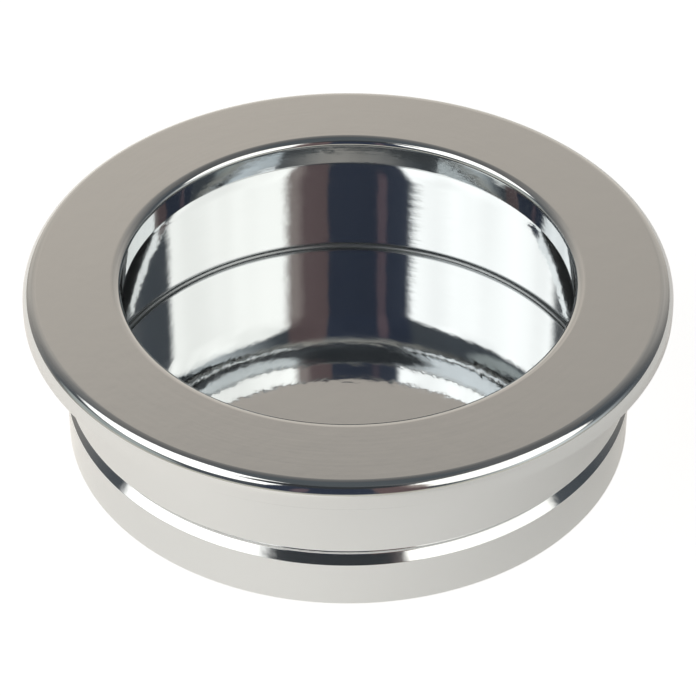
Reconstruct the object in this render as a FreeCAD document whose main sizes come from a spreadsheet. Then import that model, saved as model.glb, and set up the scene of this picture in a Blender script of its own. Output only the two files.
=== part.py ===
import FreeCAD, Part
import os
import Sketcher

# Round flush pull, turned from one piece of brass and polished.
# The axis of the turning is Z. The closed bottom of the cup stands on Z = 0 and the flange is on top.
# A finger reaches through the opening and hooks behind the lip, where the cup is wider.

os.makedirs("parts", exist_ok=True)
doc = FreeCAD.newDocument("flush_pull")

# Driving dimensions in millimetres
DIMENSIONS = [
    ("body_diameter", 44.2),
    ("overall_depth", 14.2),
    ("bottom_edge_chamfer", 0.3),
    ("flange_overhang", 2.9),
    ("flange_thickness", 2.1),
    ("flange_edge_round", 1.0),
    ("rim_edge_chamfer", 0.2),
    ("wall_thickness", 1.95),
    ("floor_thickness", 1.35),
    ("cup_floor_chamfer", 0.3),
    ("cup_shoulder_height", 1.85),
    ("cup_shoulder_reach", 0.5),
    ("cup_shoulder_round", 10.0),
    ("cup_roof_chamfer", 0.35),
    ("lip_reach", 2.7),
    ("lip_thickness", 2.4),
    ("opening_flare", 0.08),
    ("opening_edge_round", 0.65),
    ("lip_edge_chamfer", 0.15),
    ("groove_depth", 0.6),
    ("groove_above_bottom", 4.25),
    ("groove_lower_height", 0.52),
    ("groove_upper_height", 0.8),
]

sizes = doc.addObject("Spreadsheet::Sheet", "sizes")
for row, (name, value) in enumerate(DIMENSIONS, start=1):
    sizes.set(f"A{row}", name)
    sizes.set(f"B{row}", str(value))
    sizes.setAlias(f"B{row}", name)
doc.recompute()

# Radii and levels that follow from the driving dimensions
BODY_RADIUS = "sizes.body_diameter / 2"
FLANGE_RADIUS = f"{BODY_RADIUS} + sizes.flange_overhang"
CUP_RADIUS = f"{BODY_RADIUS} - sizes.wall_thickness"
ROOF_RADIUS = f"{CUP_RADIUS} - sizes.cup_shoulder_reach"
OPENING_RADIUS = f"{CUP_RADIUS} - sizes.lip_reach"
MOUTH_RADIUS = f"{OPENING_RADIUS} + sizes.opening_flare"
GROOVE_ROOT_RADIUS = f"{BODY_RADIUS} - sizes.groove_depth"
FACE_LEVEL = "sizes.overall_depth"
FLANGE_SEAT_LEVEL = f"{FACE_LEVEL} - sizes.flange_thickness"
LIP_UNDERSIDE_LEVEL = f"{FACE_LEVEL} - sizes.lip_thickness"
SHOULDER_LEVEL = f"{LIP_UNDERSIDE_LEVEL} - sizes.cup_shoulder_height"
FLOOR_LEVEL = "sizes.floor_thickness"
GROOVE_BOTTOM_LEVEL = "sizes.groove_above_bottom"
GROOVE_ROOT_LEVEL = f"{GROOVE_BOTTOM_LEVEL} + sizes.groove_lower_height"
GROOVE_TOP_LEVEL = f"{GROOVE_ROOT_LEVEL} + sizes.groove_upper_height"
NOTHING = "0"
AXIS = NOTHING
BASE_LEVEL = NOTHING

ADD_TURNED = "PartDesign::Revolution"
CUT_TURNED = "PartDesign::Groove"
ROUND = "PartDesign::Fillet"
CHAMFER = "PartDesign::Chamfer"


def value_of(expression):
    """Number that an expression of the sheet gives now."""
    result = sizes.evalExpression(expression)
    return float(getattr(result, "Value", result))


def start_of(line):
    """First end of a sketch line."""
    return line, 1


def end_of(line):
    """Second end of a sketch line."""
    return line, 2


def origin():
    """The sketch's own origin, where its horizontal axis starts. That axis counts as line -1."""
    return start_of(-1)


def half_section(body, name, corners):
    """Closed outline in the XZ plane, with radius to the right and height upwards.

    Each corner is (radius, level), both as expressions of the sheet. A side between two corners of
    one radius stays vertical and one between two corners of one level stays horizontal, so each
    size is set only once.
    """
    plane = next(part for part in body.Origin.OriginFeatures if part.Role == "XZ_Plane")
    sketch = body.newObject("Sketcher::SketchObject", name)
    sketch.AttachmentSupport = (plane, [""])
    sketch.MapMode = "FlatFace"

    points = [FreeCAD.Vector(value_of(radius), value_of(level), 0) for radius, level in corners]
    count = len(corners)
    for side in range(count):
        sketch.addGeometry(Part.LineSegment(points[side], points[(side + 1) % count]), False)
    for side in range(count):
        following = (side + 1) % count
        joined = Sketcher.Constraint("Coincident", *end_of(side), *start_of(following))
        sketch.addConstraint(joined)

    radius_is_set = [False] * count
    level_is_set = [False] * count
    for side in range(count):
        following = (side + 1) % count
        if corners[side][0] == corners[following][0] and following != 0:
            sketch.addConstraint(Sketcher.Constraint("Vertical", side))
            radius_is_set[following] = True
        if corners[side][1] == corners[following][1] and following != 0:
            sketch.addConstraint(Sketcher.Constraint("Horizontal", side))
            level_is_set[following] = True

    for corner, (radius, level) in enumerate(corners):
        if not radius_is_set[corner]:
            set_distance(sketch, "DistanceX", corner, radius)
        if not level_is_set[corner]:
            set_distance(sketch, "DistanceY", corner, level)
    doc.recompute()
    return sketch


def set_distance(sketch, direction, corner, expression):
    """Hold a corner at a distance from the origin, or in line with it where that is nothing."""
    point = start_of(corner)
    if expression == NOTHING:
        in_line = "Vertical" if direction == "DistanceX" else "Horizontal"
        sketch.addConstraint(Sketcher.Constraint(in_line, *origin(), *point))
        return
    distance = Sketcher.Constraint(direction, *origin(), *point, value_of(expression))
    index = sketch.addConstraint(distance)
    sketch.setExpression(f"Constraints[{index}]", expression)


def turn(body, feature_type, name, sketch):
    """Revolve a half section about Z, to add metal or to cut it away."""
    feature = body.newObject(feature_type, name)
    feature.Profile = sketch
    feature.ReferenceAxis = (sketch, ["V_Axis"])
    feature.Angle = 360.0
    sketch.Visibility = False
    doc.recompute()
    return feature


def finish_edge(body, feature_type, name, radius, level, size):
    """Round or chamfer the circular edge that lies at this radius and this level."""
    base = body.Tip
    wanted_radius = value_of(radius)
    wanted_level = value_of(level)
    tolerance = 0.001
    found = []
    for number, edge in enumerate(base.Shape.Edges, start=1):
        if not isinstance(edge.Curve, Part.Circle):
            continue
        same_radius = abs(edge.Curve.Radius - wanted_radius) < tolerance
        same_level = abs(edge.Curve.Center.z - wanted_level) < tolerance
        if same_radius and same_level:
            found.append(f"Edge{number}")
    if not found:
        raise ValueError(f"no edge for {name}")
    finish = body.newObject(feature_type, name)
    finish.Base = (base, found)
    finish.setExpression("Radius" if feature_type == ROUND else "Size", size)
    doc.recompute()
    return finish


def make_pull_cup():
    """The whole pull, in turning order: blank, cavity, retaining groove, then the edges."""
    body = doc.addObject("PartDesign::Body", "pull_cup")
    body.Label = "pull_cup"
    body.Placement = FreeCAD.Placement()

    # Turned blank: the body that goes into the drilled hole, with the flange above it
    blank_outline = half_section(body, "blank_outline", [
        (AXIS, BASE_LEVEL),
        (BODY_RADIUS, BASE_LEVEL),
        (BODY_RADIUS, FLANGE_SEAT_LEVEL),
        (FLANGE_RADIUS, FLANGE_SEAT_LEVEL),
        (FLANGE_RADIUS, FACE_LEVEL),
        (AXIS, FACE_LEVEL),
    ])
    turn(body, ADD_TURNED, "blank", blank_outline)
    blank_volume = body.Shape.Volume

    # Opening through the lip, a little wider at the face, and the cup that a boring tool undercuts
    # behind it. The cup's wall leans in under the lip, so a fingertip slides up into a shoulder.
    cavity_outline = half_section(body, "cavity_outline", [
        (AXIS, FLOOR_LEVEL),
        (CUP_RADIUS, FLOOR_LEVEL),
        (CUP_RADIUS, SHOULDER_LEVEL),
        (ROOF_RADIUS, LIP_UNDERSIDE_LEVEL),
        (OPENING_RADIUS, LIP_UNDERSIDE_LEVEL),
        (MOUTH_RADIUS, FACE_LEVEL),
        (AXIS, FACE_LEVEL),
    ])
    turn(body, CUT_TURNED, "cavity", cavity_outline)
    hollow_volume = body.Shape.Volume
    if hollow_volume >= blank_volume:
        raise ValueError("the cavity cut nothing")

    # Shallow retaining groove round the body, with a long upper slope and a short lower one
    groove_outline = half_section(body, "groove_outline", [
        (BODY_RADIUS, GROOVE_BOTTOM_LEVEL),
        (BODY_RADIUS, GROOVE_TOP_LEVEL),
        (GROOVE_ROOT_RADIUS, GROOVE_ROOT_LEVEL),
    ])
    turn(body, CUT_TURNED, "retaining_groove", groove_outline)
    if body.Shape.Volume >= hollow_volume:
        raise ValueError("the retaining groove cut nothing")

    # Rounded edges that a hand meets, and the long curve that eases the wall into its shoulder
    finish_edge(body, ROUND, "flange_edge", FLANGE_RADIUS, FACE_LEVEL, "sizes.flange_edge_round")
    finish_edge(body, ROUND, "opening_edge", MOUTH_RADIUS, FACE_LEVEL, "sizes.opening_edge_round")
    finish_edge(body, ROUND, "shoulder_curve", CUP_RADIUS, SHOULDER_LEVEL, "sizes.cup_shoulder_round")

    # Edges that are only broken with a small chamfer
    finish_edge(body, CHAMFER, "rim_edge", FLANGE_RADIUS, FLANGE_SEAT_LEVEL, "sizes.rim_edge_chamfer")
    finish_edge(body, CHAMFER, "bottom_edge", BODY_RADIUS, BASE_LEVEL, "sizes.bottom_edge_chamfer")
    finish_edge(body, CHAMFER, "lip_edge", OPENING_RADIUS, LIP_UNDERSIDE_LEVEL, "sizes.lip_edge_chamfer")
    finish_edge(body, CHAMFER, "roof_corner", ROOF_RADIUS, LIP_UNDERSIDE_LEVEL, "sizes.cup_roof_chamfer")
    finish_edge(body, CHAMFER, "floor_corner", CUP_RADIUS, FLOOR_LEVEL, "sizes.cup_floor_chamfer")
    return body


pieces = [make_pull_cup()]
doc.recompute()

for item in doc.Objects:
    if "Invalid" in item.State or "Error" in item.State:
        raise RuntimeError(f"{item.Name} failed: {item.State}")
    if item.isDerivedFrom("Sketcher::SketchObject") and item.solve() != 0:
        raise RuntimeError(f"{item.Name} does not solve")

for piece in pieces:
    shape = piece.Shape
    if shape.isNull() or not shape.isValid() or len(shape.Solids) != 1:
        raise RuntimeError(f"{piece.Label} is not one valid solid")
    shape.exportStep(f"parts/{piece.Label}.step")
    box = shape.optimalBoundingBox()
    print(
        f"{piece.Label}: {box.XLength:.2f} x {box.YLength:.2f} x {box.ZLength:.2f} mm, "
        f"{shape.Volume:.1f} mm3, {len(shape.Faces)} faces"
    )
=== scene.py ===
import math

import bmesh
import bpy
from mathutils import Matrix, Vector


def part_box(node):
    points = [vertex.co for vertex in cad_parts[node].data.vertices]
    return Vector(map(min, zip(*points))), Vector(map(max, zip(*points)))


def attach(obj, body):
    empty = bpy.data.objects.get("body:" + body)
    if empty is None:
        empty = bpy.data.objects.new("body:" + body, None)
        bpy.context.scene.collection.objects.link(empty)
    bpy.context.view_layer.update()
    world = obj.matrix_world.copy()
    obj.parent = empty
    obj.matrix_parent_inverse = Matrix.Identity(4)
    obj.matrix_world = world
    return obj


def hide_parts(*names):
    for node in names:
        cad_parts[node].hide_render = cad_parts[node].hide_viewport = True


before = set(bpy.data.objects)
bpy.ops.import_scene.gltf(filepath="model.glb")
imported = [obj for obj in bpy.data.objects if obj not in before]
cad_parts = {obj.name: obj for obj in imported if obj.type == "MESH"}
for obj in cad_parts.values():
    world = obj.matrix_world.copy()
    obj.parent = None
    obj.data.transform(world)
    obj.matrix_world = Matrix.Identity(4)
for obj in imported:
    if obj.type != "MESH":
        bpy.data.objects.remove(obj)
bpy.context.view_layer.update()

# %% [markdown]
# The object is a round flush pull: one piece of turned brass, polished and chrome plated. It has a
# flat flange, a round opening with a short lip, a wider cup behind the lip and a grooved body.
# Nothing on it moves. A mirror has hardly any colour of its own, so most of the work is in three
# things: edges that are really round, a finish with the faint marks of turning and polishing, and
# surroundings that are worth reflecting.
#
# Two helpers serve every step. Colours are picked on a screen, as sRGB hex values, while Blender
# reckons in linear light, so one function converts them. Materials and sky are graphs of nodes,
# and one function adds a node of any kind with its settings and links.

# %% Helpers for colours and nodes


def linear(hex_colour):
    """Linear RGBA from an sRGB colour written as #rrggbb."""
    channels = [int(hex_colour[i:i + 2], 16) / 255 for i in (1, 3, 5)]
    return [c / 12.92 if c <= 0.04045 else ((c + 0.055) / 1.055) ** 2.4 for c in channels] + [1.0]


def add_node(tree, kind, inputs=None, **settings):
    """Add a node with its settings, and give each input a value or a link.

    A link comes from another node's output, or from a node, which stands for its first output.
    """
    made = tree.nodes.new(kind)
    for name, value in settings.items():
        setattr(made, name, value)
    for socket, value in (inputs or {}).items():
        if isinstance(value, bpy.types.Node):
            value = value.outputs[0]
        if isinstance(value, bpy.types.NodeSocket):
            tree.links.new(value, made.inputs[socket])
        else:
            made.inputs[socket].default_value = value
    return made


print(f"a middle grey of #808080 is {linear('#808080')[0]:.3f} in linear light")

# %% [markdown]
# The camera comes first, because every later choice is judged through it. Its place was worked out
# from the ellipses that the round edges make: it stands about 24 cm off and looks down at 38
# degrees, with a long lens. The view transform is Standard, so colours render as they are written.

# %% Camera

low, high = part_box("pull_cup")
flange_radius = (high[0] - low[0]) / 2 * 1000
overall_depth = high[2] * 1000
print(f"flange {flange_radius * 2:.1f} mm across, face {overall_depth:.1f} mm up")

camera_distance = 0.2365
camera_elevation = math.radians(37.81)
camera_pitch = math.radians(39.22)
sensor_width = 36.0
focal_length = 159.2

camera = bpy.data.objects.new("camera", bpy.data.cameras.new("camera"))
bpy.context.scene.collection.objects.link(camera)
camera.location = (
    0.0,
    -camera_distance * math.cos(camera_elevation),
    overall_depth / 1000 + camera_distance * math.sin(camera_elevation),
)
camera.rotation_euler = (math.pi / 2 - camera_pitch, 0.0, 0.0)
camera.data.sensor_width = sensor_width
camera.data.lens = focal_length
camera.data.clip_start = 0.01
bpy.context.scene.camera = camera
bpy.context.scene.view_settings.view_transform = "Standard"
print("camera at", [round(1000 * metres) for metres in camera.location], "mm")

# %% [markdown]
# The real pull is turned on a lathe, so it is modelled the same way: half of its cross-section is
# drawn as corners, every corner gets a rounding, and the section is spun round the axis. Even the
# edges that look sharp have a rounding of a few hundredths of a millimetre, because it is those
# slivers that catch the light. The mop wears the mouth's edge into a narrow slope, so it gets two
# corners with a long and a tight rounding. The levels and radii are the real ones in millimetres.

# %% Cross-section of the turned pull

body_radius = 22.1
bottom_chamfer = 0.3
groove_level = 4.12
groove_depth = 0.7
groove_lower_height = 0.58
groove_upper_height = 0.86
groove_rounding = 0.1
flange_thickness = 2.1
rim_chamfer = 0.2
flange_rounding = 1.1
opening_radius = 17.45
mouth_radius = 17.5
mouth_rounding = 0.55
worn_width = 0.49
worn_depth = 0.32
worn_rounding = 1.0
lip_thickness = 2.4
lip_edge_rounding = 0.2
cup_radius = 20.15
roof_rounding = 0.5
shoulder_height = 1.85
shoulder_lean = math.radians(15)
shoulder_rounding = 11.7
floor_thickness = 1.35
floor_rounding = 0.4
barely = 0.06

seat_level = overall_depth - flange_thickness
lip_level = overall_depth - lip_thickness
roof_radius = cup_radius - shoulder_height * math.tan(shoulder_lean)

SECTION_CORNERS = [
    # radius, level, rounding
    (0.0, 0.0, 0.0),
    (body_radius - bottom_chamfer, 0.0, barely),
    (body_radius, bottom_chamfer, barely),
    (body_radius, groove_level, barely),
    (body_radius - groove_depth, groove_level + groove_lower_height, groove_rounding),
    (body_radius, groove_level + groove_lower_height + groove_upper_height, groove_rounding),
    (body_radius, seat_level, barely),
    (flange_radius - rim_chamfer, seat_level, barely),
    (flange_radius, seat_level + rim_chamfer, barely),
    (flange_radius, overall_depth, flange_rounding),
    (mouth_radius + worn_width, overall_depth, worn_rounding),
    (mouth_radius, overall_depth - worn_depth, mouth_rounding),
    (opening_radius, lip_level, lip_edge_rounding),
    (roof_radius, lip_level, roof_rounding),
    (cup_radius, lip_level - shoulder_height, shoulder_rounding),
    (cup_radius, floor_thickness, floor_rounding),
    (0.0, floor_thickness, 0.0),
]
lip_reach = cup_radius - opening_radius
print(f"{len(SECTION_CORNERS)} corners, and the lip reaches {lip_reach:.2f} mm over the cup")

# %% [markdown]
# A bevel modifier could round the corners, but with one width for all of them, or with weights to
# set edge by edge. Here each corner has its own radius, so the arcs are worked out directly. Each
# point on an arc also gets the arc's own direction outwards. The mirror is shaded with those
# directions, so it looks perfectly smooth although an arc is only a few short straight pieces.

# %% Rounding the corners

ARC_STEP = math.radians(5)
FEWEST_ARC_STEPS = 3


def round_section(corners):
    """Points and outward directions along a half section, with an arc at each corner.

    The section runs from the axis back to the axis, with the metal on its left. Its first and
    last corners lie on the axis and stay as they are.
    """
    bends = [(Vector((radius, level)), rounding) for radius, level, rounding in corners]
    rounded = [(bends[0][0], Vector((0.0, -1.0)))]
    for (before, _), (corner, rounding), (after, _) in zip(bends, bends[1:], bends[2:]):
        arriving = (corner - before).normalized()
        leaving = (after - corner).normalized()
        turn = math.atan2(
            arriving.x * leaving.y - arriving.y * leaving.x,
            arriving.dot(leaving),
        )
        side = math.copysign(rounding, turn)
        outward = Vector((arriving.y, -arriving.x))
        arc_start = corner - arriving * rounding * math.tan(abs(turn) / 2)
        centre = arc_start - outward * side
        steps = max(FEWEST_ARC_STEPS, math.ceil(abs(turn) / ARC_STEP))
        for step in range(steps + 1):
            normal = Matrix.Rotation(turn * step / steps, 2) @ outward
            rounded.append((centre + normal * side, normal))
    rounded.append((bends[-1][0], Vector((0.0, 1.0))))
    return rounded


section = round_section(SECTION_CORNERS)
print(len(section), "points along the section")

# %% [markdown]
# A full turn of the section makes the surface. A screw modifier would do that too, but rings that
# are built directly can carry the arcs' own directions with them. The points on the axis are one
# vertex each, and 288 steps round keep straight pieces out of the outline.

# %% Spinning the section into a mesh

SEGMENTS = 288


def spin(name, outline):
    """Closed surface of revolution, in metres, that keeps the outline's own directions."""
    vertices = []
    normals = []
    rings = []
    for point, normal in outline:
        count = SEGMENTS if point.x > 0 else 1
        ring = []
        for number in range(count):
            angle = 2 * math.pi * number / count
            across, along = math.cos(angle), math.sin(angle)
            ring.append(len(vertices))
            vertices.append(Vector((point.x * across, point.x * along, point.y)) / 1000)
            normals.append((normal.x * across, normal.x * along, normal.y))
        rings.append(ring)
    faces = []
    for inner, outer in zip(rings, rings[1:]):
        for number in range(SEGMENTS):
            following = (number + 1) % SEGMENTS
            if len(inner) == 1:
                faces.append((inner[0], outer[following], outer[number]))
            elif len(outer) == 1:
                faces.append((inner[number], inner[following], outer[0]))
            else:
                faces.append((inner[number], inner[following], outer[following], outer[number]))
    mesh = bpy.data.meshes.new(name)
    mesh.from_pydata(vertices, [], faces)
    mesh.shade_smooth()
    mesh.normals_split_custom_set_from_vertices(normals)
    piece = bpy.data.objects.new(name, mesh)
    bpy.context.scene.collection.objects.link(piece)
    return piece


turned_pull = spin("turned_pull", section)
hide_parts("pull_cup")
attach(turned_pull, "root")
print(len(turned_pull.data.polygons), "faces on the turned pull")

# %% [markdown]
# Chrome shows its surroundings and little else. Lamps and boards could be built as objects, but
# then every edge in the mirror would have to be found by moving them about. Painting the studio on
# the sky by direction is simpler: each thing is a card with rounded corners and a soft edge, with
# its middle and half size in degrees. There is a large soft box on either side of the camera, a
# dark window and a brown panel between them, a beige board behind the object and a dim room above.
# Azimuth 0 is the camera's side and 90 is to its right. Later cards cover earlier ones.

# %% Cards of the studio

ROOM_COLOUR = "#626262"
CARDS = [
    # name, colour, strength, azimuth, elevation, half width, half height, squareness, softness
    ("dim_belt", "#4b5055", 1.0, 0, 10, 400, 41, 6, 0.05),
    ("beige_board", "#dfd6ca", 1.0, 182, -4, 43, 39, 4.3, 0.88),
    ("board_shade", "#c8bfb4", 1.0, 187, 33, 19, 9, 3.3, 1.0),
    ("left_box", "#fffdf8", 1.75, -68.5, 51.5, 43.5, 20.5, 3.5, 0.08),
    ("right_box", "#fffcf4", 1.6, 56, 41, 34, 21, 2.8, 0.08),
    ("ceiling", "#54595c", 1.0, 0, 125, 400, 54, 6, 0.05),
    ("dark_window", "#323948", 1.0, -9, 29, 19, 30, 4, 0.12),
    ("brown_panel", "#685757", 1.0, 17.5, 32, 8.4, 26, 4, 0.15),
    ("warm_haze", "#9b8e88", 1.0, 25, 42, 3.5, 12, 2, 0.8),
    ("purple_post", "#67585f", 1.0, -15.5, 28, 2.2, 14, 3, 0.5),
    ("window_head", "#36393c", 1.0, -12, 61, 38, 8.6, 3, 0.2),
    ("left_table_light", "#a9afac", 1.0, -80, 17, 25, 11, 2, 0.16),
    ("right_table_light", "#dde2e1", 1.0, 68, 14, 22, 7, 2.3, 0.88),
    ("far_floor", "#cdc9bc", 1.0, -8, -6, 97, 16.5, 4.2, 0.28),
]
print("cards on the sky:", ", ".join(card[0] for card in CARDS))

# %% [markdown]
# The sky knows the direction of each ray. Two angles follow from it: the azimuth round the object
# and the elevation above the table. A card's mask comes from how far a direction lies from the
# card's middle, as shares of its half width and half height. Raised to a power and added, the two
# shares give a rectangle whose corners are rounder the lower the power is.

# %% Painting the cards by direction

world = bpy.data.worlds.new("studio")
bpy.context.scene.world = world
world.use_nodes = True
sky = world.node_tree
sky.nodes.clear()

toward = add_node(sky, "ShaderNodeTexCoord").outputs["Generated"]
part_of = add_node(sky, "ShaderNodeSeparateXYZ", {0: toward}).outputs
to_camera = add_node(sky, "ShaderNodeMath", {0: part_of["Y"], 1: -1.0}, operation="MULTIPLY")
turn_angle = add_node(sky, "ShaderNodeMath", {0: part_of["X"], 1: to_camera}, operation="ARCTAN2")
azimuth = add_node(sky, "ShaderNodeMath", {0: turn_angle}, operation="DEGREES")
rise_angle = add_node(sky, "ShaderNodeMath", {0: part_of["Z"]}, operation="ARCSINE")
elevation = add_node(sky, "ShaderNodeMath", {0: rise_angle}, operation="DEGREES")


def card_mask(across, up, half_width, half_height, squareness, softness):
    """1 inside a card with rounded corners, fading to 0 over its soft edge."""
    aside = add_node(sky, "ShaderNodeMath", {0: azimuth, 1: across}, operation="SUBTRACT")
    aside = add_node(sky, "ShaderNodeMath", {0: aside, 1: 180.0, 2: -180.0}, operation="WRAP")
    above = add_node(sky, "ShaderNodeMath", {0: elevation, 1: up}, operation="SUBTRACT")
    powers = []
    for offset, half_size in ((aside, half_width), (above, half_height)):
        apart = add_node(sky, "ShaderNodeMath", {0: offset}, operation="ABSOLUTE")
        share = add_node(sky, "ShaderNodeMath", {0: apart, 1: half_size}, operation="DIVIDE")
        powers.append(add_node(sky, "ShaderNodeMath", {0: share, 1: squareness}, operation="POWER"))
    corner = add_node(sky, "ShaderNodeMath", {0: powers[0], 1: powers[1]}, operation="ADD")
    reach = add_node(sky, "ShaderNodeMath", {0: corner, 1: 1 / squareness}, operation="POWER")
    return add_node(
        sky, "ShaderNodeMapRange",
        {"Value": reach, "From Min": 1 + softness, "From Max": 1 - softness},
        interpolation_type="SMOOTHSTEP",
    )


# A Mix node takes its two colours on sockets 6 and 7, and gives the mixed colour on output 2
seen = linear(ROOM_COLOUR)
for name, colour, strength, *shape in CARDS:
    lit = [channel * strength for channel in linear(colour)[:3]] + [1.0]
    card = add_node(
        sky, "ShaderNodeMix", {0: card_mask(*shape), 6: seen, 7: lit}, data_type="RGBA", label=name
    )
    seen = card.outputs[2]
print(len(sky.nodes), "nodes paint the studio")

# %% [markdown]
# The cloth of real soft boxes and boards never lights up quite evenly, and a slow noise over the
# directions gives the same gentle change. The camera itself doesn't see the studio. It sees a
# white backdrop at a strength of 1, while the metal mirrors the studio and is lit by it.

# %% Light from the studio

cloth_scale = 3.5
low_noise = 0.3
high_noise = 0.7
dimmest = 0.9
brightest = 1.12

cloth = add_node(
    sky, "ShaderNodeTexNoise",
    {"Vector": toward, "Scale": cloth_scale, "Detail": 1.0, "Roughness": 0.5},
)
evenness = add_node(
    sky, "ShaderNodeMapRange",
    {
        "Value": cloth,
        "From Min": low_noise,
        "From Max": high_noise,
        "To Min": dimmest,
        "To Max": brightest,
    },
)
studio = add_node(sky, "ShaderNodeBackground", {"Color": seen, "Strength": evenness})
backdrop = add_node(sky, "ShaderNodeBackground", {"Color": linear("#ffffff"), "Strength": 1.0})
sky_rays = add_node(sky, "ShaderNodeLightPath").outputs
shown = add_node(sky, "ShaderNodeMixShader", {0: sky_rays["Is Camera Ray"], 1: studio, 2: backdrop})
add_node(sky, "ShaderNodeOutputWorld", {"Surface": shown})
print(f"studio strength between {dimmest} and {brightest}")

# %% [markdown]
# The part stands on a plain white table top. The sky could stand in for the table as well, but a
# real surface is better here, because the outer wall reflects the stretch of it just in front, and
# the pull's soft shadow falls on it.

# %% Table top

table_size = 6.0
table_mesh = bpy.data.meshes.new("table_top")
plane = bmesh.new()
bmesh.ops.create_grid(plane, x_segments=1, y_segments=1, size=table_size / 2)
plane.to_mesh(table_mesh)
plane.free()
table_top = bpy.data.objects.new("table_top", table_mesh)
bpy.context.scene.collection.objects.link(table_top)
print(f"table top {table_size} m across")

# %% [markdown]
# The table is covered with matt white paper. In the photograph it has gone nearly to full white,
# so the camera sees mostly plain white, with a quarter of the lit paper and its shadow. The chrome
# mirrors the paper as it is lit, with a warm glow added that is stronger on the left, since the
# outer wall is brighter on that side. Every other kind of ray meets the plain matt paper.

# %% White paper

PAPER_COLOUR = "#f2f2f2"
PAPER_GLOW_COLOUR = "#fff6ea"
glow_left = 0.48
glow_right = 0.2
left_end = -0.025  # metres from the axis
right_end = 0.03
lit_paper_share = 0.25
white_strength = 1.15

paper = bpy.data.materials.new("white_paper")
paper.use_nodes = True
sheet = paper.node_tree
sheet.nodes.clear()

sheet_place = add_node(sheet, "ShaderNodeTexCoord").outputs["Object"]
sheet_across = add_node(sheet, "ShaderNodeSeparateXYZ", {0: sheet_place}).outputs["X"]
# Painted light: the paper glows more on the left, standing in for the light that falls there
side_light = add_node(
    sheet, "ShaderNodeMapRange",
    {
        "Value": sheet_across,
        "From Min": left_end,
        "From Max": right_end,
        "To Min": glow_left,
        "To Max": glow_right,
    },
)
matt = add_node(sheet, "ShaderNodeBsdfDiffuse", {"Color": linear(PAPER_COLOUR)})
glow = add_node(
    sheet, "ShaderNodeEmission", {"Color": linear(PAPER_GLOW_COLOUR), "Strength": side_light}
)
lit_paper = add_node(sheet, "ShaderNodeAddShader", {0: matt, 1: glow})
white = add_node(
    sheet, "ShaderNodeEmission", {"Color": linear("#ffffff"), "Strength": white_strength}
)
pale_paper = add_node(sheet, "ShaderNodeMixShader", {0: lit_paper_share, 1: white, 2: lit_paper})
paper_rays = add_node(sheet, "ShaderNodeLightPath").outputs
mirrored = add_node(
    sheet, "ShaderNodeMixShader", {0: paper_rays["Is Glossy Ray"], 1: matt, 2: lit_paper}
)
paper_look = add_node(
    sheet, "ShaderNodeMixShader", {0: paper_rays["Is Camera Ray"], 1: mirrored, 2: pale_paper}
)
add_node(sheet, "ShaderNodeOutputMaterial", {"Surface": paper_look})
table_mesh.materials.append(paper)
print("paper glow from", glow_left, "on the left to", glow_right, "on the right")

# %% [markdown]
# The finish is bright chrome over turned and polished brass. A plain metal shader would look like
# a perfect mirror, and the real one isn't quite that. Its marks follow the shape of a turned part,
# so the material first works out where a point lies on it, in millimetres: how far from the axis,
# how high, and in which direction round.

# %% Chrome: where a point lies on the turned part

chrome = bpy.data.materials.new("polished_chrome")
chrome.use_nodes = True
plating = chrome.node_tree
plating.nodes.clear()

place = add_node(plating, "ShaderNodeTexCoord").outputs["Object"]
place_mm = add_node(plating, "ShaderNodeVectorMath", {0: place, 3: 1000.0}, operation="SCALE")
place_parts = add_node(plating, "ShaderNodeSeparateXYZ", {0: place_mm}).outputs
level = place_parts["Z"]
flat_place = add_node(
    plating, "ShaderNodeCombineXYZ", {0: place_parts["X"], 1: place_parts["Y"], 2: 0.0}
)
from_axis = add_node(plating, "ShaderNodeVectorMath", {0: flat_place}, operation="LENGTH")
radius = from_axis.outputs["Value"]
way_round = add_node(plating, "ShaderNodeVectorMath", {0: flat_place}, operation="NORMALIZE")
way_parts = add_node(plating, "ShaderNodeSeparateXYZ", {0: way_round}).outputs
print(len(plating.nodes), "nodes find the radius, the level and the way round")

# %% [markdown]
# Chrome copies the metal below it, so the plating still shows a little of how the part was made:
# very fine rings from the turning, and a slow unevenness from the polishing mop. Both are a noise
# that tilts the surface a little. For the rings the noise changes fast across the marks and slowly
# along them. The real rings are a few hundredths of a millimetre apart, which is too fine to show,
# so they are drawn a few tenths apart. Spacing, size and relief are in millimetres.

# %% Chrome: turning rings and mop marks

ring_spacing = 0.35
ring_relief = 0.05
along_rings = 1.3
mop_mark_size = 2.5
mop_relief = 0.2
relief_share = 0.05

along_x = add_node(
    plating, "ShaderNodeMath", {0: way_parts["X"], 1: along_rings}, operation="MULTIPLY"
)
along_y = add_node(
    plating, "ShaderNodeMath", {0: way_parts["Y"], 1: along_rings}, operation="MULTIPLY"
)
outline_run = add_node(plating, "ShaderNodeMath", {0: radius, 1: level}, operation="ADD")
ring_count = add_node(
    plating, "ShaderNodeMath", {0: outline_run, 1: ring_spacing}, operation="DIVIDE"
)
ring_place = add_node(plating, "ShaderNodeCombineXYZ", {0: along_x, 1: along_y, 2: ring_count})
rings = add_node(
    plating, "ShaderNodeTexNoise",
    {"Vector": ring_place, "Scale": 1.0, "Detail": 2.0, "Roughness": 0.5},
)
mop_marks = add_node(
    plating, "ShaderNodeTexNoise",
    {"Vector": place_mm, "Scale": 1 / mop_mark_size, "Detail": 3.0, "Roughness": 0.55},
)
ring_bump = add_node(
    plating, "ShaderNodeBump",
    {"Height": rings, "Strength": relief_share, "Distance": ring_relief / 1000},
)
worked_surface = add_node(
    plating, "ShaderNodeBump",
    {
        "Height": mop_marks,
        "Strength": relief_share,
        "Distance": mop_relief / 1000,
        "Normal": ring_bump,
    },
)
print(f"rings {ring_spacing} mm apart, mop marks {mop_mark_size} mm across")
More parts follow.
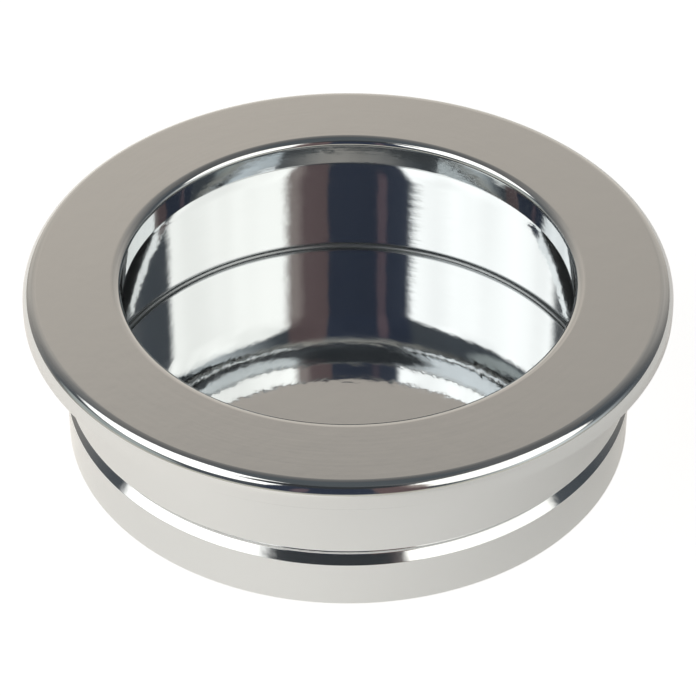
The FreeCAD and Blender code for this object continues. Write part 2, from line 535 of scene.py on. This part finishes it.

# %% [markdown]
# The corner where the cup's wall meets its floor is a narrow ring of painted shade. Its colour is
# darker, and its finish is duller because the mop doesn't reach there. The ring is where three
# things hold at once: near the cup's wall or beyond it, below a level just above the floor, and
# short of the outer wall. They also hold along the edge of the closed bottom, which the camera
# doesn't see, so the ring shows there too.

# %% Chrome: dull ring with painted shade in the corner of the cup

dull_shade_ring_width = 0.6
dull_shade_ring_fade = 0.3
outer_margin = 0.3
outer_fade = 0.2

limits = [
    # measure, where the ring ends, where it is fully there
    (radius, cup_radius - dull_shade_ring_width, cup_radius - dull_shade_ring_width + dull_shade_ring_fade),
    (level, floor_thickness + dull_shade_ring_width, floor_thickness + dull_shade_ring_width - dull_shade_ring_fade),
    (radius, body_radius - outer_margin, body_radius - outer_margin - outer_fade),
]
dull_shade_ring = 1.0
for measure, ring_end, ring_start in limits:
    within = add_node(
        plating, "ShaderNodeMapRange",
        {"Value": measure, "From Min": ring_end, "From Max": ring_start},
        interpolation_type="SMOOTHSTEP",
    )
    dull_shade_ring = add_node(
        plating, "ShaderNodeMath", {0: dull_shade_ring, 1: within}, operation="MULTIPLY"
    )
print(f"dull ring {dull_shade_ring_width} mm wide in the corner of the cup")

# %% [markdown]
# Bright chrome is a pale metal with a slight blue, so the base colour is a cool light grey and the
# roughness is close to that of a mirror, a little higher along the rings. Buffing also leaves a
# faint veil, which hardly dims a bright reflection but greys a black one: 3 percent of a much
# rougher chrome is mixed in for it.

# %% Chrome: the plated surface

CHROME_COLOUR = "#e1e4e6"
# Colour of the painted shade in the corner ring
CORNER_SHADE_COLOUR = "#989da0"
mirror_roughness = 0.035
ring_roughness = 0.03
streaks_begin = 0.35
streaks_full = 0.75
corner_roughness = 0.26
veil_roughness = 0.4
veil_share = 0.03

streaks = add_node(
    plating, "ShaderNodeMapRange",
    {"Value": rings, "From Min": streaks_begin, "From Max": streaks_full},
    interpolation_type="SMOOTHSTEP",
)
streaked = add_node(
    plating, "ShaderNodeMath",
    {0: streaks, 1: ring_roughness, 2: mirror_roughness},
    operation="MULTIPLY_ADD",
)
roughness = add_node(
    plating, "ShaderNodeMath",
    {0: dull_shade_ring, 1: corner_roughness, 2: streaked},
    operation="MULTIPLY_ADD",
)
# The corner ring's darker colour is painted shade
base_colour = add_node(
    plating, "ShaderNodeMix",
    {0: dull_shade_ring, 6: linear(CHROME_COLOUR), 7: linear(CORNER_SHADE_COLOUR)},
    data_type="RGBA",
).outputs[2]
mirror = add_node(
    plating, "ShaderNodeBsdfPrincipled",
    {"Base Color": base_colour, "Metallic": 1.0, "Roughness": roughness, "Normal": worked_surface},
)
veil = add_node(
    plating, "ShaderNodeBsdfPrincipled",
    {
        "Base Color": linear(CHROME_COLOUR),
        "Metallic": 1.0,
        "Roughness": veil_roughness,
        "Normal": worked_surface,
    },
)
plated = add_node(plating, "ShaderNodeMixShader", {0: veil_share, 1: mirror, 2: veil})
add_node(plating, "ShaderNodeOutputMaterial", {"Surface": plated})
turned_pull.data.materials.append(chrome)
print("materials on the pull:", [material.name for material in turned_pull.data.materials])
